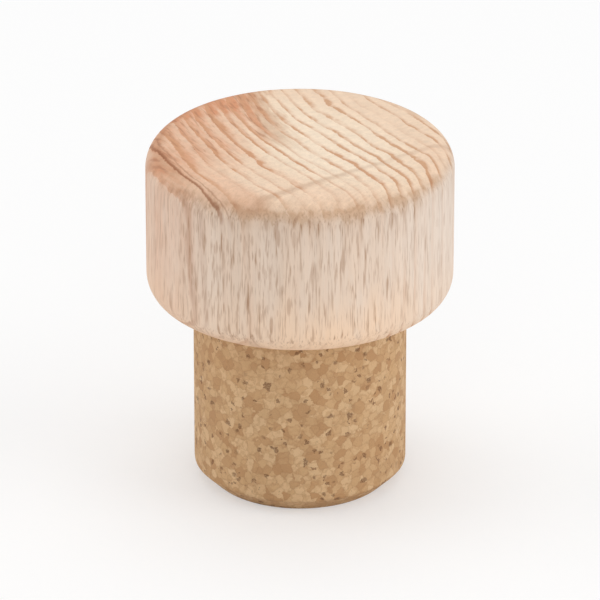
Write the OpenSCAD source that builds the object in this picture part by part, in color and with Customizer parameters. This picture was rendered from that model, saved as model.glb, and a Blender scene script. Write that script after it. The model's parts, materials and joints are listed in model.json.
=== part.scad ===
// T-shaped bottle stopper: a turned wooden head on a cork shank.
// Millimetres, +Z up. The origin is the centre of the shank's lower end,
// which the stopper stands on when it is out of the bottle.

/* [Head] */
// Diameter of the turned head
head_d = 28; // [26:0.5:36]
// Height of the head
head_h = 15; // [10:0.5:30]
// Radius that rounds the head's upper edge
upper_edge_r = 2.4; // [0.5:0.1:5]
// Radius that rounds the head's lower edge
lower_edge_r = 2.4; // [0.5:0.1:3.5]

/* [Shank] */
// Diameter of the cork below the head, 1 mm over the 18.5 mm bore of a bottle
shank_d = 19.5; // [18:0.1:22]
// Length of the cork that shows below the head
shank_l = 18; // [10:0.5:30]
// Chamfer that leads the cork into the bottle's mouth
lead_chamfer = 1.5; // [0.5:0.1:4]

/* [Joint between head and shank] */
// Depth of the blind socket that the cork is glued into
socket_depth = 5; // [3:0.5:8]
// How far the socket squeezes the cork in, measured on the radius
socket_squeeze = 0.25; // [0.1:0.05:0.5]
// How far the socket's countersunk mouth stands clear of the cork all round
mouth_margin = 0.25; // [0.2:0.05:0.4]
// Thickness of the glue film round the cork's upper end
glue_film = 0.05; // [0.02:0.01:0.15]
// Chamfer on the cork's upper end, which leaves room for spare glue
tenon_chamfer = 0.5; // [0.2:0.1:1.5]

/* [Hidden] */
$fn = 96;

head_r = head_d / 2;
shank_r = shank_d / 2;
socket_r = shank_r - socket_squeeze;
mouth_r = shank_r + mouth_margin;
tenon_r = socket_r - glue_film;
seat_z = shank_l;            // the head's underside, which seats on the bottle's lip
socket_end_z = seat_z + socket_depth;
overcut = 1;                 // how far a cutting shape runs past what it cuts

// Half of an upright disc's section, x from the axis, with both rims rounded.
module disc_section(r, h, upper_r, lower_r) {
    difference() {
        square([r, h]);
        translate([r - upper_r, h - upper_r])
            rim_waste(upper_r);
        translate([r - lower_r, lower_r])
            mirror([0, 1])
                rim_waste(lower_r);
    }
}

// What a quarter-round of radius r leaves outside it, in the corner at [r, r].
module rim_waste(r) {
    difference() {
        square(r + overcut);
        circle(r);
    }
}

// Half of a flat-bottomed blind hole's section, upwards from the X axis,
// with a 45 degree countersink from mouth_r down to r.
module socket_section(r, depth, mouth_r) {
    polygon([
        [0, -overcut],
        [mouth_r + overcut, -overcut],
        [r, mouth_r - r],
        [r, depth],
        [0, depth]
    ]);
}

// Turned wooden head with a countersunk blind socket in its underside.
module head() {
    color("#EBD0B4")
        translate([0, 0, seat_z])
            rotate_extrude()
                difference() {
                    disc_section(head_r, head_h, upper_edge_r, lower_edge_r);
                    socket_section(socket_r, socket_depth, mouth_r);
                }
}

// Cork shank: its free length up to the seat, then a 45 degree neck inside the
// socket's countersink, and the squeezed end, which bottoms in the socket.
module shank() {
    neck_end_z = seat_z + shank_r - tenon_r;
    color("#C9A071")
        rotate_extrude()
            polygon([
                [0, 0],
                [shank_r - lead_chamfer, 0],
                [shank_r, lead_chamfer],
                [shank_r, seat_z],
                [tenon_r, neck_end_z],
                [tenon_r, socket_end_z - tenon_chamfer],
                [tenon_r - tenon_chamfer, socket_end_z],
                [0, socket_end_z]
            ]);
}

head();
shank();
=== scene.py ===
"""Wooden bottle stopper: a turned beech head glued onto a cork shank, with its stage."""

import json
import math

import bpy
from mathutils import Color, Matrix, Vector


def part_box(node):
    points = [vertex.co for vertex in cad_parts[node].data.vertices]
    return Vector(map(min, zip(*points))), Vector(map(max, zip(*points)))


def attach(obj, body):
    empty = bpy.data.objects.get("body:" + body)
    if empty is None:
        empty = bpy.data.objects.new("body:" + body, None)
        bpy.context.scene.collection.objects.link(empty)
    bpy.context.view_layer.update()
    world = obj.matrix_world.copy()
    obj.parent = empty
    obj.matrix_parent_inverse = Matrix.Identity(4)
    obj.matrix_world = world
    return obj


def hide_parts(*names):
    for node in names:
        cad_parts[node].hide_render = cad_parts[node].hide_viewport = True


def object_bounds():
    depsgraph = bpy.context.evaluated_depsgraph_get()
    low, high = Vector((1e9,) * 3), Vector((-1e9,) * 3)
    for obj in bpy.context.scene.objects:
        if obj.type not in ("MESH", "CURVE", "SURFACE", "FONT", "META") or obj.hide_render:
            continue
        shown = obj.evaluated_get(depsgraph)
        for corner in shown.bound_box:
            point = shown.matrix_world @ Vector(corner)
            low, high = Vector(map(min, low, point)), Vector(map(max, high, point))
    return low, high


bl_info = {
    "name": "Wooden Bottle Stopper",
    "version": (1, 0, 0),
    "blender": (4, 5, 0),
    "location": "3D View > Sidebar > Stopper",
    "description": "Makes a turned beech stopper head, its cork shank and a plain studio stage",
    "category": "Add Mesh",
}

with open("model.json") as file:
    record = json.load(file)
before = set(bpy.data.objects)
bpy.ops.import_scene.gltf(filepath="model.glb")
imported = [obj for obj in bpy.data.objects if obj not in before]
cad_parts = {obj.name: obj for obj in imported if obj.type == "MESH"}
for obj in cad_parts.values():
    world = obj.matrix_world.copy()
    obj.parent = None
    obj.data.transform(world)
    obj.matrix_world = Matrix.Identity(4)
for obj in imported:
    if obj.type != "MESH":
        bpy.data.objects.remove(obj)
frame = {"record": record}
FRAME_LOW, FRAME_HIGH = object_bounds()
HEAD_LOW, HEAD_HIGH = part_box("head")
GLUED_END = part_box("shank")[1].z
FREE_CORK = next(m for m in frame["record"]["mounts"] if m["name"] == "shank")

MM = 0.001
CORK_RADIUS = FREE_CORK["dims"]["r_mm"] * MM
HALF_WALL = FREE_CORK["dims"]["length_mm"] * MM / 2
WALL_LOW = FREE_CORK["pos_m"][2] - HALF_WALL
WALL_HIGH = FREE_CORK["pos_m"][2] + HALF_WALL
WELD = 0.001 * MM                # points nearer than this are one point
RIM_POINTS = 24                  # points round each rounded corner of an outline
ROOT = "root"


def tint(red, green, blue):
    """A colour given on the usual 0 to 255 scale, as the linear values that a shader takes."""
    return tuple(linear(level / 255) for level in (red, green, blue))


def linear(level):
    return level / 12.92 if level <= 0.04045 else ((level + 0.055) / 1.055) ** 2.4


# ---------------------------------------------------------------- sizes and colours

def length(name, description, default):
    return bpy.props.FloatProperty(
        name=name, description=description, default=default, min=0.0,
        unit="LENGTH", subtype="DISTANCE", precision=5,
    )


def colour(name, description, default):
    return bpy.props.FloatVectorProperty(
        name=name, description=description, default=default, size=3, min=0.0, max=1.0,
        subtype="COLOR",
    )


class HeadSizes(bpy.types.PropertyGroup):
    """Sizes of the turned head."""
    radius: length("Radius", "Half the head's width", (HEAD_HIGH.x - HEAD_LOW.x) / 2)
    top: length("Top", "Height of the head's top above the cork's end", HEAD_HIGH.z)
    underside: length("Underside", "Height of the face that seats on the bottle", HEAD_LOW.z)
    upper_rim: length("Upper rim", "Rounding of the upper edge", 2.4 * MM)
    lower_rim: length("Lower rim", "Rounding of the lower edge", 2.4 * MM)
    squeeze: length("Squeeze", "How far the socket squeezes the cork", 0.25 * MM)
    mouth: length("Mouth", "Gap round the cork at the socket's countersink", 0.25 * MM)
    waviness: length("Waviness", "How far hand sanding leaves the surface from true", 0.02 * MM)


class CorkSizes(bpy.types.PropertyGroup):
    """Sizes of the cork shank."""
    radius: length("Radius", "Half the width of the free cork", CORK_RADIUS)
    chamfer_top: length("Chamfer top", "Height where the lead-in chamfer ends", WALL_LOW)
    neck: length("Neck", "Height where the cork starts to neck into the socket", WALL_HIGH)
    top: length("Top", "Height of the glued end", GLUED_END)
    glue_film: length("Glue film", "Gap for glue round the squeezed end", 0.05 * MM)
    end_chamfer: length("End chamfer", "Chamfer on the glued end", 0.5 * MM)
    soft_edge: length("Soft edge", "Rounding that grinding leaves on the cork's edges", 0.2 * MM)
    pit_depth: length("Pit depth", "Depth of the pits between granules", 0.12 * MM)
    granule: length("Granule", "Usual width of a cork granule", 0.85 * MM)


class BeechLook(bpy.types.PropertyGroup):
    """The head's wood."""
    ring_width: length("Ring width", "Wood that the tree grew in a year", 1.35 * MM)
    pith_distance: length("Pith distance", "From the head's axis to the tree's centre", 45 * MM)
    pith_direction: bpy.props.FloatProperty(
        name="Pith direction", description="Where the tree's centre lay, round from +X",
        default=math.radians(31), unit="ROTATION", subtype="ANGLE",
    )
    end_grain: colour("End grain", "Colour of plain wood cut across", tint(244, 221, 195))
    heart: colour("Pale end grain", "Colour of the palest wood cut across", tint(252, 236, 214))
    side_grain: colour("Side grain", "Colour of plain wood cut along", tint(236, 213, 193))
    young: colour("Young wood", "Colour of the wood nearer the tree's centre, cut along",
                  tint(234, 217, 202))
    rosy: colour("Rosy wood", "Colour of the pinkish patch", tint(215, 151, 113))
    edging: colour("Edging", "Colour of the patch's greyish border", tint(198, 160, 126))
    summer: colour("Summer wood", "Colour of the dense line that ends a ring", tint(208, 154, 116))
    young_summer: colour("Young summer wood", "Colour of that line nearer the tree's centre",
                         tint(210, 164, 128))
    stain: colour("Stain", "Colour of the one dark line on the rim", tint(160, 105, 72))
    fleck: colour("Fleck", "Colour of a ray that is cut across", tint(172, 128, 95))
    silver: colour("Silver", "Colour of a ray that lies in the surface", tint(238, 222, 207))
    pore: colour("Pore", "Colour of an open pore", tint(172, 132, 102))
    # painted shade: this colour multiplies the shoulder's rounding darker
    shoulder_shade_tint: colour("Burnish", "What the shoulder's slanted fibres do to the colour",
                    (0.74, 0.64, 0.55))
    # painted light: the warm colour laid over the lower edge as light bounced up from below
    painted_underlight: colour("Glow", "Colour of the lower edge", tint(255, 220, 187))


class CorkLook(bpy.types.PropertyGroup):
    """The shank's cork."""
    light: colour("Light granules", "Colour of the palest granules", tint(220, 184, 141))
    middle: colour("Middle granules", "Colour of most granules", tint(207, 168, 124))
    dark: colour("Dark granules", "Colour of the darker granules", tint(189, 146, 103))
    # the real bark specks' colour, also used as the painted shade that darkens the pits
    bark_and_pit_shade: colour("Bark", "Colour of the specks of bark", tint(112, 76, 50))
    binder: colour("Binder", "Colour of the lines between granules", tint(166, 122, 82))


def level(name, description, default):
    return bpy.props.FloatProperty(
        name=name, description=description, default=default, min=0.0, max=2.0, subtype="FACTOR",
    )


class StageLook(bpy.types.PropertyGroup):
    """Floor, light and camera. A light's level is how bright it alone makes white paper."""
    sky: level("Sky", "Level of the light from all round", 0.6)
    overhead: level("Overhead", "Level of the soft box above", 0.2)
    right: level("Right", "Level of the soft box on the right", 0.28)
    left: level("Left", "Level of the soft box on the left", 0.22)
    front: level("Front", "Level of the soft box in front", 0.1)
    camera_rise: bpy.props.FloatProperty(
        name="Camera rise", description="How far the camera looks down on the head",
        default=math.radians(24.6), unit="ROTATION", subtype="ANGLE",
    )
    camera_distance: length("Camera distance", "From the camera to the head's middle", 543 * MM)
    view_width: length("View width", "Width of the view at the head", 54.5 * MM)


# ---------------------------------------------------------------- node trees

def opaque(colour):
    """A look's colour as the four values that a colour socket takes; anything else as it is."""
    return (*colour, 1.0) if isinstance(colour, Color) else colour


class Graph:
    """Short calls that add nodes to one tree. Each returns the new node's output socket."""

    def __init__(self, tree):
        self.tree = tree

    def node(self, kind, inputs=None, **settings):
        made = self.tree.nodes.new(kind)
        for name, value in settings.items():
            setattr(made, name, value)
        for key, value in (inputs or {}).items():
            self.feed(made.inputs[key], value)
        return made

    def feed(self, socket, value):
        if isinstance(value, bpy.types.NodeSocket):
            self.tree.links.new(value, socket)
        else:
            socket.default_value = value

    def math(self, operation, *values):
        return self.node("ShaderNodeMath", dict(enumerate(values)), operation=operation).outputs[0]

    def times(self, *values):
        product = values[0]
        for value in values[1:]:
            product = self.math("MULTIPLY", product, value)
        return product

    def plus(self, *values):
        total = values[0]
        for value in values[1:]:
            total = self.math("ADD", total, value)
        return total

    def line(self, value, slope, start):
        """The value times slope, and start added."""
        return self.math("MULTIPLY_ADD", value, slope, start)

    def swing(self, noise, size):
        """Turns a noise of 0 to 1 into one that swings size either way."""
        return self.line(noise, 2 * size, -size)

    def vector_math(self, operation, *values):
        feeds = dict(enumerate(values))
        return self.node("ShaderNodeVectorMath", feeds, operation=operation).outputs[0]

    def scaled(self, vector, factor):
        feeds = {0: vector, "Scale": factor}
        return self.node("ShaderNodeVectorMath", feeds, operation="SCALE").outputs[0]

    def joined(self, x, y, z):
        return self.node("ShaderNodeCombineXYZ", {0: x, 1: y, 2: z}).outputs[0]

    def split(self, vector):
        return self.node("ShaderNodeSeparateXYZ", {0: vector}).outputs

    def step(self, value, low, high, start=0.0, end=1.0):
        """Eases from start to end while value goes from low to high."""
        feeds = {"Value": value, "From Min": low, "From Max": high, "To Min": start, "To Max": end}
        return self.node("ShaderNodeMapRange", feeds, interpolation_type="SMOOTHSTEP").outputs[0]

    def noise(self, place, detail=2.0, roughness=0.5):
        feeds = {"Vector": place, "Scale": 1.0, "Detail": detail, "Roughness": roughness}
        return self.node("ShaderNodeTexNoise", feeds).outputs[0]

    def cells(self, place, feature="F1"):
        feeds = {"Vector": place, "Scale": 1.0}
        return self.node("ShaderNodeTexVoronoi", feeds, feature=feature).outputs

    def curve(self, value, stops):
        """Goes straight from stop to stop, each (value, result), and stays level outside them."""
        low, high = stops[0][0], stops[-1][0]
        along = self.line(value, 1 / (high - low), -low / (high - low))
        node = self.node("ShaderNodeValToRGB", {0: along})
        ramp = node.color_ramp
        while len(ramp.elements) < len(stops):
            ramp.elements.new(1.0)
        for element, (place, result) in zip(ramp.elements, stops):
            element.position = (place - low) / (high - low)
            element.color = (result, result, result, 1.0)
        return node.outputs[0]

    def mixed(self, factor, first, second, blend="MIX"):
        feeds = {0: factor, 6: opaque(first), 7: opaque(second)}
        made = self.node("ShaderNodeMix", feeds, data_type="RGBA", blend_type=blend)
        return made.outputs[2]


def bare_material(name):
    """A new material whose tree is still empty."""
    material = bpy.data.materials.new(name)
    material.use_nodes = True
    material.node_tree.nodes.clear()
    return material


def new_geometry_tree(name, inputs):
    """A geometry tree with named inputs, each (name, socket kind, default), and a mesh output."""
    tree = bpy.data.node_groups.new(name, "GeometryNodeTree")
    for title, kind, default in inputs:
        socket = tree.interface.new_socket(title, in_out="INPUT", socket_type="NodeSocket" + kind)
        if default is not None:
            socket.default_value = default
    tree.interface.new_socket("Mesh", in_out="OUTPUT", socket_type="NodeSocketGeometry")
    graph = Graph(tree)
    return tree, graph, graph.node("NodeGroupInput").outputs


def by_index(graph, kind, values):
    """A field that gives point 0 the first value, point 1 the second, and so on."""
    switch = graph.node("GeometryNodeIndexSwitch", data_type=kind)
    while len(switch.index_switch_items) < len(values):
        switch.index_switch_items.new()
    graph.feed(switch.inputs[0], graph.node("GeometryNodeInputIndex").outputs[0])
    for number, value in enumerate(values):
        graph.feed(switch.inputs[number + 1], value)
    return switch.outputs[0]


def outline(graph, corners):
    """A curve in the XZ plane through corners, each (distance from the axis, height, rounding)."""
    line = graph.node("GeometryNodeMeshLine", {"Count": len(corners)}).outputs[0]
    curve = graph.node("GeometryNodeMeshToCurve", {0: line}).outputs[0]
    places = by_index(graph, "VECTOR", [graph.joined(x, 0.0, z) for x, z, _ in corners])
    roundings = by_index(graph, "FLOAT", [rounding for _, _, rounding in corners])
    placed = graph.node("GeometryNodeSetPosition", {"Geometry": curve, "Position": places})
    feeds = {"Curve": placed.outputs[0], "Count": RIM_POINTS, "Radius": roundings}
    return graph.node("GeometryNodeFilletCurve", feeds, mode="POLY").outputs[0]


def lathe_group():
    """Turns an outline about the Z axis: a grid rolled into rings that follow the outline."""
    tree, graph, given = new_geometry_tree("Lathe", [
        ("Outline", "Geometry", None),
        ("Segments", "Int", 440),
        ("Rings", "Int", 100),
    ])
    grid = graph.node("GeometryNodeMeshGrid", {
        "Size X": 1.0,
        "Size Y": 1.0,
        "Vertices X": graph.math("ADD", given["Segments"], 1.0),
        "Vertices Y": given["Rings"],
    }).outputs[0]
    x, y, _ = graph.split(graph.node("GeometryNodeInputPosition").outputs[0])
    turn = graph.times(graph.math("ADD", x, 0.5), -2 * math.pi)
    feeds = {"Curves": given["Outline"], "Factor": graph.math("ADD", y, 0.5)}
    sample = graph.node("GeometryNodeSampleCurve", feeds, mode="FACTOR").outputs["Position"]
    radius, _, height = graph.split(sample)
    place = graph.joined(
        graph.times(radius, graph.math("COSINE", turn)),
        graph.times(radius, graph.math("SINE", turn)),
        height,
    )
    rolled = graph.node("GeometryNodeSetPosition", {"Geometry": grid, "Position": place})
    closed = graph.node(
        "GeometryNodeMergeByDistance", {"Geometry": rolled.outputs[0], "Distance": WELD}
    )
    graph.node("NodeGroupOutput", {0: closed.outputs[0]})
    return tree


def lathed(graph, lathe, curve, segments, rings):
    feeds = {"Outline": curve, "Segments": segments, "Rings": rings}
    made = graph.node("GeometryNodeGroup", node_tree=lathe)
    for name, value in feeds.items():
        graph.feed(made.inputs[name], value)
    return made.outputs[0]


def welded(graph, *meshes):
    """The meshes as one, joined where their edges meet."""
    join = graph.node("GeometryNodeJoinGeometry")
    for mesh in meshes:
        graph.feed(join.inputs[0], mesh)
    feeds = {"Geometry": join.outputs[0], "Distance": WELD}
    return graph.node("GeometryNodeMergeByDistance", feeds).outputs[0]


def dress(graph, mesh, relief, material):
    """Lifts the surface by relief along its normal, smooths its shading and sets its material."""
    offset = graph.scaled(graph.node("GeometryNodeInputNormal").outputs[0], relief)
    raised = graph.node("GeometryNodeSetPosition", {"Geometry": mesh, "Offset": offset})
    smooth = graph.node("GeometryNodeSetShadeSmooth", {"Geometry": raised.outputs[0]})
    real = graph.node("GeometryNodeRealizeInstances", {"Geometry": smooth.outputs[0]})
    feeds = {"Geometry": real.outputs[0], "Material": material}
    dressed = graph.node("GeometryNodeSetMaterial", feeds)
    graph.node("NodeGroupOutput", {0: dressed.outputs[0]})


def made_piece(name, tree, values):
    """Runs a geometry tree with the given inputs and keeps its result as a plain mesh."""
    piece = bpy.data.objects.new(name, bpy.data.meshes.new(name + "_seed"))
    bpy.context.scene.collection.objects.link(piece)
    modifier = piece.modifiers.new(tree.name, "NODES")
    modifier.node_group = tree
    for item in tree.interface.items_tree:
        if item.in_out == "INPUT" and item.name in values:
            modifier[item.identifier] = values[item.name]
    evaluated = piece.evaluated_get(bpy.context.evaluated_depsgraph_get())
    mesh = bpy.data.meshes.new_from_object(evaluated)
    if not mesh.polygons:
        raise RuntimeError(f"{name}: the tree {tree.name} made no faces")
    piece.modifiers.clear()
    piece.data = mesh
    mesh.name = name
    return piece


# ---------------------------------------------------------------- beech

# A place in the log is counted in millimetres: out from the pith and round it, both from the
# head's axis, and up the trunk from the cork's end.

# each pattern's length out, round and up, then its detail and its roughness
PATTERNS = {
    "wave": (9.0, 11.0, 40.0, 1.0, 0.5),
    "width": (2.6, 60.0, 200.0, 0.0, 0.5),
    "ripple": (1.2, 2.0, 14.0, 2.0, 0.5),
    "crumble": (0.3, 0.3, 3.0, 2.0, 0.5),
    "age": (3.0, 3.0, 25.0, 2.0, 0.5),
    "ragged": (0.8, 3.6, 20.0, 3.0, 0.55),
    "streak": (0.6, 6.0, 30.0, 3.0, 0.6),
    "thread": (0.5, 3.0, 9.0, 3.0, 0.65),
    "drift": (1.6, 2.6, 18.0, 4.0, 0.6),
    "column": (0.6, 0.6, 30.0, 2.0, 0.5),
    "hair": (0.1, 0.1, 7.0, 2.0, 0.6),
    "veil": (1.3, 1.3, 16.0, 2.0, 0.5),
    "patchy": (1.0, 3.0, 4.0, 3.0, 0.6),
    "broken": (0.7, 1.5, 6.0, 1.0, 0.5),
    "fine fibre": (0.15, 0.15, 2.4, 2.0, 0.6),
    "coarse fibre": (0.32, 0.32, 3.6, 2.0, 0.6),
    "dash": (0.32, 1.8, 3.0, 1.0, 0.5),
    "hair ray": (2.6, 0.11, 9.0, 2.0, 0.5),
    "torn": (0.35, 0.35, 40.0, 3.0, 0.6),
    "uneven": (0.8, 0.8, 40.0, 1.0, 0.5),
}

STAIN_OUT = 12.4                 # how far out the stain line is
STAIN_YEAR = 20                  # and the number of the ring that it ends
# how dark the stain line is, by height
STAIN_HEIGHT = [(30.2, 0.1), (31.4, 0.8), (32.6, 1.0)]
# the rings lean outward on one side of the head's axis, and close up on the other
RING_LEAN = 0.03
RING_FAN = 0.012
# past this place round the pith they sweep outward, by so much for a millimetre squared
HOOK_START = 6.0
HOOK_SWEEP = 0.03
# the palest wood of the top: how far out and round it is, and how fast it ends each way
HEART_OUT, HEART_ROUND = -1.5, 2.0
HEART_OUT_FALL, HEART_ROUND_FALL = 1.6, 0.45
# strength of the rosy patch, by distance out
ROSY_YEARS = [(-3.0, 1.1), (1.6, 1.1), (3.0, 0.55), (4.8, 0.44), (6.2, 0.76), (8.5, 0.64),
              (10.5, 0.58), (12.5, 0.82), (14.5, 0.78)]
BORDER_SLANT = -0.14             # how the patch's clean border slants as it goes round
# how much painted shade darkens the wood, by height: most in the shoulder's rounding
SHOULDER_SHADE = [(28.0, 0.0), (30.3, 0.14), (31.2, 0.5), (31.75, 1.15), (32.0, 1.15),
                 (32.35, 0.45), (32.7, 0.2), (33.0, 0.0)]
# on the far side the painted shade is fainter and sits higher, along the far rim
FAR_RIM_SHADE = [(31.6, 0.0), (32.3, 0.5), (32.75, 0.7), (32.98, 0.0)]
# how clear the summer wood is, by height: fainter where the rim rounds over
RIM_LINES = [(30.8, 1.0), (31.6, 0.6), (32.6, 0.8), (33.0, 1.0)]
# how strongly painted bounce light from below brightens and warms the lower edge, by height, and
# by distance out
EDGE_PAINTED_LIGHT = [(18.0, 1.25), (20.4, 0.95), (24.0, 0.25), (30.0, 0.0)]
PAINTED_LIGHT_YEARS = [(-4.0, 0.35), (0.5, 0.65), (3.0, 0.95), (6.0, 1.1), (9.0, 0.95), (11.5, 0.6),
              (13.5, 0.45)]
# blades of ray wood: each kind's thickness, and its size and strength beside the largest
RAY_KINDS = ((0.4, 1.0), (0.24, 0.55))
RAY_OUT, RAY_UP = 5.0, 3.0       # a large blade's reach out and up
FUZZ = 9                         # fibres that sanding raises, to a millimetre
SANDING_WAVES = 0.22             # waves that hand sanding leaves, to a millimetre


def head_tree(lathe):
    """The head: its outer skin and its blind socket, very slightly wavy from hand sanding."""
    tree, graph, given = new_geometry_tree("Turned head", [
        ("Radius", "Float", 14 * MM),
        ("Top", "Float", 33 * MM),
        ("Underside", "Float", 18 * MM),
        ("Upper rim", "Float", 2.4 * MM),
        ("Lower rim", "Float", 2.4 * MM),
        ("Mouth radius", "Float", 10 * MM),
        ("Socket radius", "Float", 9.5 * MM),
        ("Socket end", "Float", 23 * MM),
        ("Segments", "Int", 440),
        ("Skin rings", "Int", 150),
        ("Socket rings", "Int", 40),
        ("Waviness", "Float", 0.02 * MM),
        ("Material", "Material", None),
    ])
    radius, top, underside = given["Radius"], given["Top"], given["Underside"]
    mouth, socket, end = given["Mouth radius"], given["Socket radius"], given["Socket end"]
    countersink_top = graph.plus(underside, graph.math("SUBTRACT", mouth, socket))
    skin = outline(graph, [
        (0.0, top, 0.0),
        (radius, top, given["Upper rim"]),
        (radius, underside, given["Lower rim"]),
        (mouth, underside, 0.0),
    ])
    hollow = outline(graph, [
        (mouth, underside, 0.0),
        (socket, countersink_top, 0.0),
        (socket, end, 0.0),
        (0.0, end, 0.0),
    ])
    body = welded(
        graph,
        lathed(graph, lathe, skin, given["Segments"], given["Skin rings"]),
        lathed(graph, lathe, hollow, given["Segments"], given["Socket rings"]),
    )
    place = graph.node("GeometryNodeInputPosition").outputs[0]
    sanding = graph.noise(graph.scaled(place, SANDING_WAVES / MM), 1.0)
    relief = graph.times(graph.swing(sanding, 1.0), given["Waviness"])
    dress(graph, body, relief, given["Material"])
    return tree


class BeechGraph(Graph):
    """The tree of a material for wood that is one solid pattern in the log. Its layers are painted
    one over the other, in the order in which beech_material calls them."""

    def __init__(self, tree, wood):
        super().__init__(tree)
        self.wood = wood
        coordinates = self.node("ShaderNodeTexCoord").outputs
        self.head_place = coordinates["Object"]
        self.normal = self.split(coordinates["Normal"])
        self.out, self.round_pith, self.up = self.log_place()
        self.ring, self.year = self.growth_ring()
        feeds = {"W": self.year}
        years = self.node("ShaderNodeTexWhiteNoise", feeds, noise_dimensions="1D")
        self.year_tone = years.outputs[0]
        self.end_grain = self.step(self.math("ABSOLUTE", self.normal[2]), 0.2, 0.85)

    def log_place(self):
        """How far a point lay out from the pith, round it and up the trunk."""
        reach = self.wood.pith_distance / MM
        direction = self.wood.pith_direction
        toward = Vector((math.cos(direction), math.sin(direction), 0.0))
        x, y, up = self.split(self.scaled(self.head_place, 1 / MM))
        east = self.math("ADD", x, -toward.x * reach)
        north = self.math("ADD", y, -toward.y * reach)
        span = self.plus(self.times(east, east), self.times(north, north))
        out = self.math("ADD", self.math("SQRT", span), -reach)
        axis_turn = math.atan2(-toward.y, -toward.x)
        turn = self.math("ADD", self.math("ARCTAN2", north, east), -axis_turn)
        return out, self.times(turn, reach), up

    def stretched(self, out, round_pith, up):
        """The place in the log divided by a length each way, for a pattern that long."""
        return self.joined(self.times(self.out, 1 / out),
                           self.times(self.round_pith, 1 / round_pith),
                           self.times(self.up, 1 / up))

    def pattern(self, name):
        """One of the patterns, from 0 to 1."""
        *lengths, detail, roughness = PATTERNS[name]
        return self.noise(self.stretched(*lengths), detail, roughness)

    def swaying(self, name, size):
        """One of the patterns, swinging size either way."""
        return self.swing(self.pattern(name), size)

    def paint(self, strength, rgb):
        """Lays a colour over what is there, as strongly as given."""
        self.colour = self.mixed(strength, self.colour, rgb)

    def shade(self, tone):
        """Makes what is there lighter or darker."""
        self.colour = self.mixed(1.0, self.colour, self.joined(tone, tone, tone), "MULTIPLY")

    def growth_ring(self):
        """How far a point is through its ring, from 0 in spring wood to 1, and the ring's year.
        A ring ends on the stain line."""
        width = self.wood.ring_width / MM
        past_start = self.math("MAXIMUM", self.plus(self.round_pith, -HOOK_START), 0.0)
        hook = self.times(past_start, past_start, -HOOK_SWEEP)
        lean = self.times(self.math("MAXIMUM", self.round_pith, 0.0), -RING_LEAN)
        fan = self.times(self.math("MINIMUM", self.round_pith, 0.0), self.out, -RING_FAN)
        warped = self.plus(self.out, hook, lean, fan,
                           self.swaying("wave", 0.7), self.swaying("width", 0.6),
                           self.swaying("ripple", 0.28), self.swaying("crumble", 0.12),
                           (STAIN_YEAR + 1) * width - STAIN_OUT)
        years = self.times(warped, 1 / width)
        return self.math("FRACT", years), self.math("FLOOR", years)

    def plain_wood(self):
        """Paler along the grain where the tree was younger, and palest in the top's heart."""
        wood = self.wood
        self.age = self.step(self.plus(self.out, self.swaying("age", 5.0)), -6.0, 7.0)
        along = self.mixed(self.age, wood.young, wood.side_grain)
        self.colour = self.mixed(self.end_grain, along, wood.end_grain)
        heart_out = self.plus(self.out, -HEART_OUT)
        heart_round = self.plus(self.round_pith, -HEART_ROUND)
        self.from_heart = self.plus(self.times(heart_out, heart_out, HEART_OUT_FALL),
                                    self.times(heart_round, heart_round, HEART_ROUND_FALL))
        heart = self.step(self.from_heart, 5.0, 60.0, 0.3, 0.0)
        self.paint(self.times(heart, self.end_grain), wood.heart)

    def rosy_patch(self):
        """A pinkish patch with one clean border, one that fades along the rings, and paler years
        inside. Its clean border is greyish on the top."""
        self.ragged = self.swaying("ragged", 2.4)
        border = self.plus(self.out, self.times(self.round_pith, BORDER_SLANT), self.ragged)
        border_end = self.line(self.end_grain, -1.8, 4.2)
        clean = self.step(border, -0.3, border_end)
        streaks = self.swaying("streak", 4.5)
        lag = self.times(self.math("MINIMUM", self.out, 9.0), -0.4)
        side_shift = self.line(self.end_grain, 1.9, 0.9)
        fading = self.plus(self.round_pith, lag, side_shift, streaks)
        faded = self.step(fading, -3.0, 2.6, 1.0, 0.0)
        by_year = self.curve(self.plus(self.out, self.times(self.ragged, 0.6)), ROSY_YEARS)
        far_years = self.step(self.round_pith, -9.5, -6.5, 1.1, 0.0)
        through_ring = self.step(self.ring, 0.1, 0.9, 0.55, 1.05)
        within = self.plus(through_ring, self.swaying("thread", 0.7))
        deepening = self.step(self.round_pith, -11.0, -3.0, 1.15, 0.85)
        on_side = self.step(self.round_pith, -9.0, -4.0, 0.42, 0.74)
        on_top = self.times(self.end_grain, 0.96)
        self.rosy = self.times(clean, faded, self.math("MAXIMUM", by_year, far_years), within,
                               deepening, self.math("MAXIMUM", on_side, on_top))
        self.paint(self.plus(self.rosy, self.blush()), self.wood.rosy)
        near_end = self.step(self.plus(self.round_pith, streaks), -2.5, 2.0, 0.45, 0.0)
        edging = self.times(self.step(border, -0.6, 0.8), self.step(border, 1.6, 3.2, 1.0, 0.0),
                            near_end, self.end_grain)
        self.paint(edging, self.wood.edging)

    def blush(self):
        """How rosy the rest of the top is: a little toward its rim and along the stain line."""
        toward_rim = self.step(self.from_heart, 40.0, 90.0, 0.0, 0.15)
        along_stain = self.times(self.step(self.out, 8.6, 10.4, 0.0, 0.3),
                                 self.step(self.round_pith, -1.0, 4.0, 0.45, 1.0),
                                 self.step(self.round_pith, 7.0, 9.0, 1.0, 0.0))
        front = self.step(self.round_pith, 7.5, 9.5, 0.0, 0.06)
        return self.times(self.plus(toward_rim, along_stain, front), self.end_grain)

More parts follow.
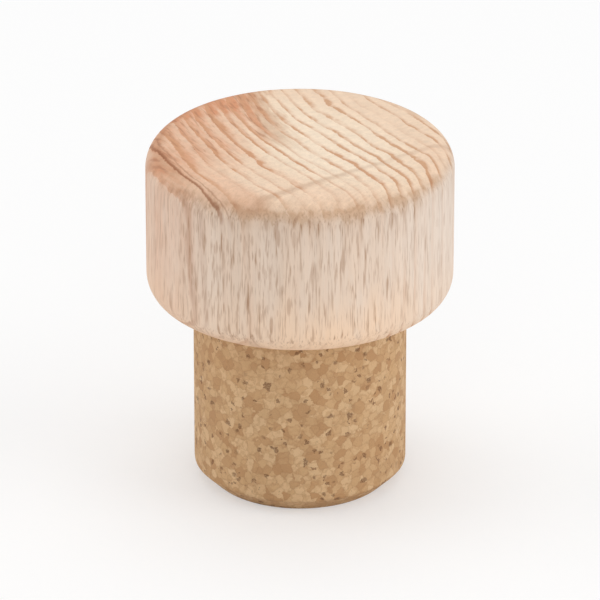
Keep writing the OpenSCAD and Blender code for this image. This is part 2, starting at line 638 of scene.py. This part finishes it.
    def tones(self):
        """Each year grew its own tone, slow drifts run up the trunk, and silvery veils lie on the
        side. Painted bounce light from below brightens and warms the lower edge."""
        drift = self.pattern("drift")
        self.shade(self.plus(self.swing(self.year_tone, 0.012), self.swing(drift, 0.09),
                             self.swaying("column", 0.11), self.swaying("hair", 0.07), 1.0))
        veiled = self.times(self.step(self.pattern("veil"), 0.42, 0.62, 0.0, 0.34),
                            self.math("SUBTRACT", 1.0, self.end_grain),
                            self.step(self.rosy, 0.0, 0.5, 1.0, 0.25))
        self.paint(veiled, self.wood.silver)
        # painted light: brightens and warms the lower edge as if lit from below
        painted_underlight = self.times(self.curve(self.plus(self.up, self.swing(drift, 4.0)), EDGE_PAINTED_LIGHT),
                          self.curve(self.out, PAINTED_LIGHT_YEARS))
        self.paint(self.times(painted_underlight, 0.8), self.wood.painted_underlight)

    def broad_ray(self):
        """One broad ray crosses the top near its front edge, and the rings fade beyond it."""
        across = self.plus(self.round_pith, self.times(self.out, 0.08),
                           self.times(self.ragged, 0.15))
        self.crossing = self.times(self.step(across, 7.4, 7.95),
                                   self.step(across, 8.05, 8.8, 1.0, 0.0))
        self.beyond = self.times(self.step(across, 8.2, 9.4),
                                 self.step(self.out, 1.0, 6.0, 0.05, 0.7))

    def summer_wood(self):
        """The dense line that ends a ring: it builds up, and stops sharply where the next ring
        starts. It is stronger in some years and places than in others."""
        out, round_pith = self.out, self.round_pith
        self.patchy = self.pattern("patchy")
        front = self.times(self.step(round_pith, 1.0, 6.0), self.step(out, -3.0, 5.0, 0.55, -0.55))
        paler_years = self.times(self.step(round_pith, -8.0, -6.0),
                                 self.step(round_pith, -3.0, 0.0, 0.5, 0.0),
                                 self.step(out, 2.5, 4.0))
        by_place = self.times(self.plus(self.step(out, -4.0, 5.0, 0.9, 1.1), front, paler_years),
                              self.step(out, -11.0, -6.5, 0.65, 1.0),
                              self.step(round_pith, -9.0, -7.0, 0.82, 1.0))
        strength = self.times(self.line(self.year_tone, 1.2, 0.3), by_place,
                              self.math("SUBTRACT", 1.0, self.beyond),
                              self.step(self.pattern("broken"), 0.36, 0.6, 0.7, 1.5),
                              self.step(self.patchy, 0.3, 0.65, 0.4, 1.0),
                              self.curve(self.up, RIM_LINES),
                              self.line(self.end_grain, 0.8, 0.17))
        rise = self.math("POWER", self.step(self.ring, 0.35, 0.95), 2.0)
        dense = self.times(rise, self.step(self.ring, 0.92, 1.0, 1.0, 0.0))
        brown = self.mixed(self.age, self.wood.young_summer, self.wood.summer)
        self.colour = self.mixed(self.times(dense, strength), self.colour, brown)

    def stain(self):
        """The one dark line, with a fainter one beside it, that runs over the rim."""
        ring, year = self.ring, self.year
        this_year = self.times(self.math("COMPARE", year, STAIN_YEAR, 0.5),
                               self.curve(self.up, STAIN_HEIGHT))
        next_year = self.times(self.math("COMPARE", year, STAIN_YEAR + 1, 0.5),
                               self.step(self.round_pith, 0.5, 2.5, 0.0, 0.4))
        first_line = self.times(self.step(ring, 0.7, 0.88), self.step(ring, 0.94, 1.0, 1.0, 0.0))
        second_line = self.times(self.step(ring, 0.4, 0.52), self.step(ring, 0.52, 0.62, 0.6, 0.0))
        stained = self.times(self.plus(this_year, next_year), self.plus(first_line, second_line),
                             self.step(self.patchy, 0.2, 0.6, 0.6, 1.0))
        self.paint(self.times(stained, 0.82), self.wood.stain)

    def fibres(self):
        """Pores, short dark streaks up the trunk, calmer in the younger wood, and short brown
        dashes that lie along the rings in the rosy patch."""
        self.calm = self.times(self.step(self.out, -6.0, 4.0, 0.46, 1.0),
                               self.step(self.round_pith, -1.0, 3.5, 0.5, 1.0))
        self.pores = self.plus(self.step(self.pattern("fine fibre"), 0.52, 0.7, 0.0, 0.6),
                                 self.step(self.pattern("coarse fibre"), 0.52, 0.7, 0.0, 0.58))
        on_top = self.line(self.end_grain, -0.62, 0.82)
        self.paint(self.times(self.pores, self.calm, on_top), self.wood.pore)
        dashed = self.times(self.step(self.pattern("dash"), 0.52, 0.68, 0.0, 0.42),
                            self.step(self.rosy, 0.15, 0.6), self.end_grain)
        self.paint(dashed, self.wood.stain)

    def rays(self):
        """Thin blades that run out from the pith, dark where they are cut across and silvery
        where they lie in the surface."""
        direction = self.wood.pith_direction
        sideways = Vector((-math.sin(direction), math.cos(direction), 0.0))
        facing = self.math("ABSOLUTE", self.plus(self.times(self.normal[0], sideways.x),
                                                 self.times(self.normal[1], sideways.y)))
        ray_colour = self.mixed(self.step(facing, 0.8, 0.97), self.wood.fleck, self.wood.silver)
        self.blades = 0.0
        for thickness, size in RAY_KINDS:
            cell = self.cells(self.stretched(RAY_OUT * size, thickness, RAY_UP * size))
            reach = self.line(self.split(cell["Color"])[0], 0.3, 0.08)
            past_edge = self.math("SUBTRACT", cell["Distance"], reach)
            blade = self.step(past_edge, -0.12, 0.02, 1.0, 0.0)
            self.blades = self.math("MAXIMUM", self.blades, self.times(blade, size))
        small_rays = self.times(self.blades, self.calm, self.step(facing, 0.75, 0.95, 1.0, 0.45),
                                self.line(self.end_grain, -0.34, 0.42))
        broad_ray = self.times(self.crossing, self.end_grain,
                               self.step(self.out, -2.0, 2.0, 0.21, 0.33))
        self.colour = self.mixed(self.plus(small_rays, broad_ray), self.colour, ray_colour)
        self.shade(self.line(self.swaying("hair ray", 0.06), self.end_grain, 1.0))

    def shaded_shoulder(self):
        """Painted shade in the shoulder's rounding, following the rings, with darker dashes of
        torn fibre hanging down the side. The far rim gets an even band of painted shade."""
        torn = self.pattern("torn")
        hanging = self.step(torn, 0.5, 0.75, 0.0, 1.3)
        band = self.times(self.curve(self.up, SHOULDER_SHADE),
                          self.step(torn, 0.25, 0.6, 0.75, 1.1))
        dashes = self.times(self.curve(self.plus(self.up, hanging), SHOULDER_SHADE), 0.9)
        on_rings = self.times(self.step(self.ring, 0.45, 0.9, 0.8, 1.15),
                              self.line(self.year_tone, 0.5, 0.75),
                              self.step(self.pattern("uneven"), 0.38, 0.64, 0.7, 1.4))
        sheltered = self.times(self.step(self.round_pith, -2.0, 5.0, 0.3, 1.0),
                               self.step(self.out, -9.0, 2.0, 0.4, 1.0))
        near_shade_and_marks = self.times(self.math("MAXIMUM", band, dashes), on_rings, sheltered)
        far_shade = self.times(self.curve(self.up, FAR_RIM_SHADE),
                              self.step(self.round_pith, -1.0, 4.0, 1.0, 0.0))
        # painted shade: the wood multiplied darker where the rim rounds over, with real dashes of
        # torn fibre below
        shade_tinted = self.mixed(1.0, self.colour, self.wood.shoulder_shade_tint, "MULTIPLY")
        self.colour = self.mixed(self.math("MAXIMUM", near_shade_and_marks, far_shade), self.colour, shade_tinted)

    def surface(self):
        """A dry, sanded surface: pores and rays lie a little lower, and fibres stand up."""
        fuzz = self.noise(self.scaled(self.head_place, FUZZ / MM), 2.0, 0.6)
        height = self.plus(self.times(self.pores, -0.6), self.times(fuzz, 0.3),
                           self.times(self.blades, -0.2))
        feeds = {"Strength": 0.25, "Distance": 0.08 * MM, "Height": height}
        bump = self.node("ShaderNodeBump", feeds)
        shader = self.node("ShaderNodeBsdfPrincipled", {
            "Base Color": self.colour,
            "Roughness": self.step(fuzz, 0.2, 0.8, 0.62, 0.78),
            "Specular IOR Level": 0.35,
            "Normal": bump.outputs[0],
        })
        self.node("ShaderNodeOutputMaterial", {0: shader.outputs[0]})


def beech_material(wood):
    """Raw beech, cut from one solid log: rings, a rosy patch, rays, pores, painted shade on the
    shoulder and painted light on the lower edge.
    """
    material = bare_material("fine_sanded_beech")
    beech = BeechGraph(material.node_tree, wood)
    beech.plain_wood()
    beech.rosy_patch()
    beech.tones()
    beech.broad_ray()
    beech.summer_wood()
    beech.stain()
    beech.fibres()
    beech.rays()
    beech.shaded_shoulder()
    beech.surface()
    return material


# ---------------------------------------------------------------- cork

# in granule widths
RAGGED_PUSH = 0.9                # how far a granule's ragged border strays
PIT_SPACING = 1.5                # from one pit to the next
# and how many go to a granule's width
CRUMBS = 2.3                     # crumbs of crushed cork
ROUGH_CUTS = 9                   # ups and downs that grinding leaves
PIT_NICKS = 3.5                  # nicks in a pit's edge
CLOUDS = 0.35                    # slow changes of tone


def granule_cells(graph, granule, place):
    """The place in granule widths, pushed about so that the granules have ragged borders."""
    wide = graph.scaled(place, 1 / granule)
    feeds = {"Vector": wide, "Scale": 1.6, "Detail": 4.0, "Roughness": 0.65}
    push = graph.node("ShaderNodeTexNoise", feeds).outputs[1]
    return graph.vector_math("ADD", wide, graph.scaled(push, RAGGED_PUSH))


def pits(graph, place, granule):
    """Small open pits where a granule broke out, 1 at the deepest."""
    cell = graph.cells(graph.scaled(place, 1 / (granule * PIT_SPACING)))
    size = graph.line(graph.split(cell["Color"])[1], 0.42, -0.16)
    rough = graph.swing(graph.noise(graph.scaled(place, PIT_NICKS / granule), 2.0), 0.12)
    edge = graph.plus(cell["Distance"], rough, graph.times(size, -1.0))
    return graph.step(edge, -0.14, 0.02, 1.0, 0.0)


def shank_tree(lathe, cork):
    """The cork: ground straight, cut off flat, with small pits in its free surface."""
    tree, graph, given = new_geometry_tree("Ground cork", [
        ("Radius", "Float", 9.75 * MM),
        ("Chamfer top", "Float", 1.5 * MM),
        ("Neck", "Float", 18.2 * MM),
        ("Tenon radius", "Float", 9.45 * MM),
        ("Top", "Float", 23 * MM),
        ("End chamfer", "Float", 0.5 * MM),
        ("Soft edge", "Float", 0.2 * MM),
        ("Segments", "Int", 420),
        ("Rings", "Int", 200),
        ("Pit depth", "Float", 0.12 * MM),
        ("Material", "Material", None),
    ])
    radius, tenon, top = given["Radius"], given["Tenon radius"], given["Top"]
    low, neck, soft = given["Chamfer top"], given["Neck"], given["Soft edge"]
    corners = outline(graph, [
        (0.0, top, 0.0),
        (graph.math("SUBTRACT", tenon, given["End chamfer"]), top, 0.0),
        (tenon, graph.math("SUBTRACT", top, given["End chamfer"]), 0.0),
        (tenon, graph.plus(neck, graph.math("SUBTRACT", radius, tenon)), 0.0),
        (radius, neck, soft),
        (radius, low, soft),
        (graph.math("SUBTRACT", radius, low), 0.0, soft),
        (0.0, 0.0, 0.0),
    ])
    body = lathed(graph, lathe, corners, given["Segments"], given["Rings"])
    place = graph.node("GeometryNodeInputPosition").outputs[0]
    height = graph.split(place)[2]
    free = graph.math("LESS_THAN", height, neck)
    relief = graph.times(pits(graph, place, cork.granule), given["Pit depth"], free, -1.0)
    dress(graph, body, relief, given["Material"])
    return tree


def cork_material(look, sizes):
    """Fine agglomerated cork: granules of many tones, thin dark binder lines, and pits with
    painted shade in them.
    """
    material = bare_material("agglomerated_cork")
    graph = Graph(material.node_tree)
    place = graph.node("ShaderNodeTexCoord").outputs["Object"]
    warped = granule_cells(graph, sizes.granule, place)
    tones = graph.split(graph.cells(warped)["Color"])
    gap = graph.cells(warped, "DISTANCE_TO_EDGE")["Distance"]
    crumbs = graph.split(graph.cells(graph.scaled(warped, CRUMBS))["Color"])
    fine = graph.noise(graph.scaled(place, ROUGH_CUTS / sizes.granule), 3.0, 0.7)
    cloud = graph.noise(graph.scaled(place, CLOUDS / sizes.granule), 2.0)

    darker = graph.step(tones[0], 0.0, 0.6)
    colour_now = graph.mixed(darker, look.light, look.middle)
    colour_now = graph.mixed(graph.step(tones[0], 0.6, 1.0), colour_now, look.dark)
    crushed = graph.step(crumbs[0], 0.55, 1.0, 0.0, 0.5)
    colour_now = graph.mixed(crushed, colour_now, look.dark)
    line = graph.times(graph.step(gap, 0.0, 0.1, 1.0, 0.0), graph.step(fine, 0.35, 0.65, 0.1, 0.6))
    colour_now = graph.mixed(line, colour_now, look.binder)
    barky = graph.times(graph.step(crumbs[1], 0.95, 0.965),
                        graph.step(fine, 0.35, 0.6, 0.25, 0.85))
    colour_now = graph.mixed(barky, colour_now, look.bark_and_pit_shade)
    tone = graph.plus(graph.swing(fine, 0.2), graph.swing(cloud, 0.08), 1.0)
    colour_now = graph.mixed(1.0, colour_now, graph.joined(tone, tone, tone), "MULTIPLY")
    deep = pits(graph, place, sizes.granule)
    # painted shade: the pits darkened with the bark colour
    colour_now = graph.mixed(graph.times(deep, 0.6), colour_now, look.bark_and_pit_shade)

    height = graph.plus(graph.times(fine, 0.6), graph.times(line, -0.5), graph.times(deep, -0.5))
    bump = graph.node("ShaderNodeBump", {"Strength": 0.5, "Distance": 0.1 * MM, "Height": height})
    shader = graph.node("ShaderNodeBsdfPrincipled", {
        "Base Color": colour_now,
        "Roughness": graph.step(tones[2], 0.0, 1.0, 0.7, 0.85),
        "Specular IOR Level": 0.3,
        "Normal": bump.outputs[0],
    })
    graph.node("ShaderNodeOutputMaterial", {0: shader.outputs[0]})
    return material


# ---------------------------------------------------------------- stage

WHITE = (1.0, 1.0, 1.0, 1.0)
BOUNCED = (0.8, 0.8, 0.8, 1.0)   # what the paper gives back to the stopper
BOX_DISTANCE = 900 * MM
BOX_WIDTH = 600 * MM
# each soft box's turn from the front to the right, and its rise, in degrees
SOFT_BOXES = {"overhead": (180, 80), "right": (72, 20), "left": (-98, 20), "front": (5, 40)}
FLOOR_WIDTH = 3000 * MM
FADE_START = 120 * MM            # where the floor starts to fade to plain white
FADE_END = 350 * MM              # and where it is all white
NEAR_WHITE = 0.4                 # how far toward plain white it already is near the stopper
AIM_DROP = 7.5 * MM              # the view's middle lies this far below the head's


def seen_directly(graph):
    """1 for rays from the camera, and for what gloss and glass show of the room; else 0."""
    path = graph.node("ShaderNodeLightPath").outputs
    shown = graph.math("MAXIMUM", path["Is Camera Ray"], path["Is Glossy Ray"])
    return graph.math("MAXIMUM", shown, path["Is Transmission Ray"])


def paper_material():
    """White paper. It keeps the stopper's shadow, bounces a little less than it shows, so that
    shapes keep their shade, and far from the stopper it shows the same white as the sky."""
    material = bare_material("white_paper")
    graph = Graph(material.node_tree)
    seen = seen_directly(graph)
    paper = graph.node("ShaderNodeBsdfDiffuse", {"Color": graph.mixed(seen, BOUNCED, WHITE)})
    white = graph.node("ShaderNodeEmission", {"Color": WHITE, "Strength": 1.0})
    place = graph.node("ShaderNodeTexCoord").outputs["Object"]
    away = graph.node("ShaderNodeVectorMath", {0: place}, operation="LENGTH").outputs["Value"]
    far = graph.times(seen, graph.step(away, FADE_START, FADE_END, NEAR_WHITE, 1.0))
    shader = graph.node("ShaderNodeMixShader", {0: far, 1: paper.outputs[0], 2: white.outputs[0]})
    graph.node("ShaderNodeOutputMaterial", {0: shader.outputs[0]})
    return material


def lit_sky(level):
    """A world that lights at the given level and looks white."""
    world = bpy.data.worlds.new("studio_sky")
    world.use_nodes = True
    world.node_tree.nodes.clear()
    graph = Graph(world.node_tree)
    strength = graph.math("MAXIMUM", seen_directly(graph), level)
    sky = graph.node("ShaderNodeBackground", {"Color": WHITE, "Strength": strength})
    graph.node("ShaderNodeOutputWorld", {0: sky.outputs[0]})
    bpy.context.scene.world = world


def soft_box(name, turn, rise, level):
    """A square soft light that faces the stopper, turn degrees round from the front to the right
    and rise degrees up. Alone it lights white paper that faces it to the given level."""
    turn, rise = math.radians(turn), math.radians(rise)
    flat = math.cos(rise)
    away = Vector((math.sin(turn) * flat, -math.cos(turn) * flat, math.sin(rise)))
    lamp = bpy.data.lights.new(name, "AREA")
    lamp.shape = "SQUARE"
    lamp.size = BOX_WIDTH
    lamp.energy = level * (math.pi * BOX_DISTANCE) ** 2
    light = bpy.data.objects.new(name, lamp)
    bpy.context.scene.collection.objects.link(light)
    light.location = (FRAME_LOW + FRAME_HIGH) / 2 + away * BOX_DISTANCE
    light.rotation_euler = away.to_track_quat("Z", "Y").to_euler()


def paper_floor(width):
    """A flat sheet under the stopper."""
    half = width / 2
    corners = [(-half, -half, 0.0), (half, -half, 0.0), (half, half, 0.0), (-half, half, 0.0)]
    mesh = bpy.data.meshes.new("paper_floor")
    mesh.from_pydata(corners, [], [(0, 1, 2, 3)])
    mesh.materials.append(paper_material())
    floor = bpy.data.objects.new("paper_floor", mesh)
    bpy.context.scene.collection.objects.link(floor)


def place_camera(look):
    """A long lens that looks down on the head, with the whole stopper in view."""
    middle = (HEAD_LOW + HEAD_HIGH) / 2
    back = Vector((0.0, -math.cos(look.camera_rise), math.sin(look.camera_rise)))
    camera = bpy.data.objects.new("camera", bpy.data.cameras.new("camera"))
    bpy.context.scene.collection.objects.link(camera)
    camera.location = middle + back * look.camera_distance
    below = Vector((0.0, 0.0, -1.0))
    down = below - back * below.dot(back)
    target = middle + down.normalized() * AIM_DROP
    camera.rotation_euler = (target - camera.location).to_track_quat("-Z", "Y").to_euler()
    camera.data.lens = camera.data.sensor_width * look.camera_distance / look.view_width
    camera.data.clip_start = 10 * MM
    camera.data.clip_end = 10_000 * MM
    bpy.context.scene.camera = camera


# ---------------------------------------------------------------- operators and panel

class STOPPER_OT_turn_head(bpy.types.Operator):
    """Turn the beech head, with its rounded rims and blind socket"""
    bl_idname = "stopper.turn_head"
    bl_label = "Turn Head"

    def execute(self, context):
        sizes, wood = context.scene.stopper_head, context.scene.stopper_beech
        cork = context.scene.stopper_cork
        head = made_piece("turned_head", head_tree(lathe()), {
            "Radius": sizes.radius,
            "Top": sizes.top,
            "Underside": sizes.underside,
            "Upper rim": sizes.upper_rim,
            "Lower rim": sizes.lower_rim,
            "Mouth radius": cork.radius + sizes.mouth,
            "Socket radius": cork.radius - sizes.squeeze,
            "Socket end": cork.top,
            "Waviness": sizes.waviness,
            "Material": beech_material(wood),
        })
        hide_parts("head")
        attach(head, ROOT)
        return {"FINISHED"}


class STOPPER_OT_grind_cork(bpy.types.Operator):
    """Grind the cork shank, with its chamfer, neck and glued end"""
    bl_idname = "stopper.grind_cork"
    bl_label = "Grind Cork"

    def execute(self, context):
        sizes, look = context.scene.stopper_cork, context.scene.stopper_cork_look
        squeeze = context.scene.stopper_head.squeeze
        shank = made_piece("cork_shank", shank_tree(lathe(), sizes), {
            "Radius": sizes.radius,
            "Chamfer top": sizes.chamfer_top,
            "Neck": sizes.neck,
            "Tenon radius": sizes.radius - squeeze - sizes.glue_film,
            "Top": sizes.top,
            "End chamfer": sizes.end_chamfer,
            "Soft edge": sizes.soft_edge,
            "Pit depth": sizes.pit_depth,
            "Material": cork_material(look, sizes),
        })
        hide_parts("shank")
        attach(shank, ROOT)
        return {"FINISHED"}


class STOPPER_OT_set_stage(bpy.types.Operator):
    """Lay the floor and set the lights and the camera"""
    bl_idname = "stopper.set_stage"
    bl_label = "Set Stage"

    def execute(self, context):
        look = context.scene.stopper_stage
        context.scene.view_settings.view_transform = "Standard"
        lit_sky(look.sky)
        paper_floor(FLOOR_WIDTH)
        for side, (turn, rise) in SOFT_BOXES.items():
            soft_box(side + "_box", turn, rise, getattr(look, side))
        place_camera(look)
        return {"FINISHED"}


class STOPPER_PT_maker(bpy.types.Panel):
    """Lists the operators in making order"""
    bl_idname = "STOPPER_PT_maker"
    bl_label = "Bottle Stopper"
    bl_space_type = "VIEW_3D"
    bl_region_type = "UI"
    bl_category = "Stopper"

    def draw(self, context):
        for operator in OPERATORS:
            self.layout.operator(operator.bl_idname)


def lathe():
    """The lathe group, made on first use and shared by both pieces."""
    return bpy.data.node_groups.get("Lathe") or lathe_group()


OPERATORS = (STOPPER_OT_turn_head, STOPPER_OT_grind_cork, STOPPER_OT_set_stage)
SETTINGS = {
    "stopper_head": HeadSizes,
    "stopper_cork": CorkSizes,
    "stopper_beech": BeechLook,
    "stopper_cork_look": CorkLook,
    "stopper_stage": StageLook,
}


def register():
    for made in (*SETTINGS.values(), *OPERATORS, STOPPER_PT_maker):
        bpy.utils.register_class(made)
    for name, kind in SETTINGS.items():
        setattr(bpy.types.Scene, name, bpy.props.PointerProperty(type=kind))


def unregister():
    for name in SETTINGS:
        delattr(bpy.types.Scene, name)
    for made in (STOPPER_PT_maker, *OPERATORS, *SETTINGS.values()):
        bpy.utils.unregister_class(made)


def main():
    register()
    bpy.ops.stopper.turn_head()
    bpy.ops.stopper.grind_cork()
    bpy.ops.stopper.set_stage()


if __name__ == "__main__":
    main()
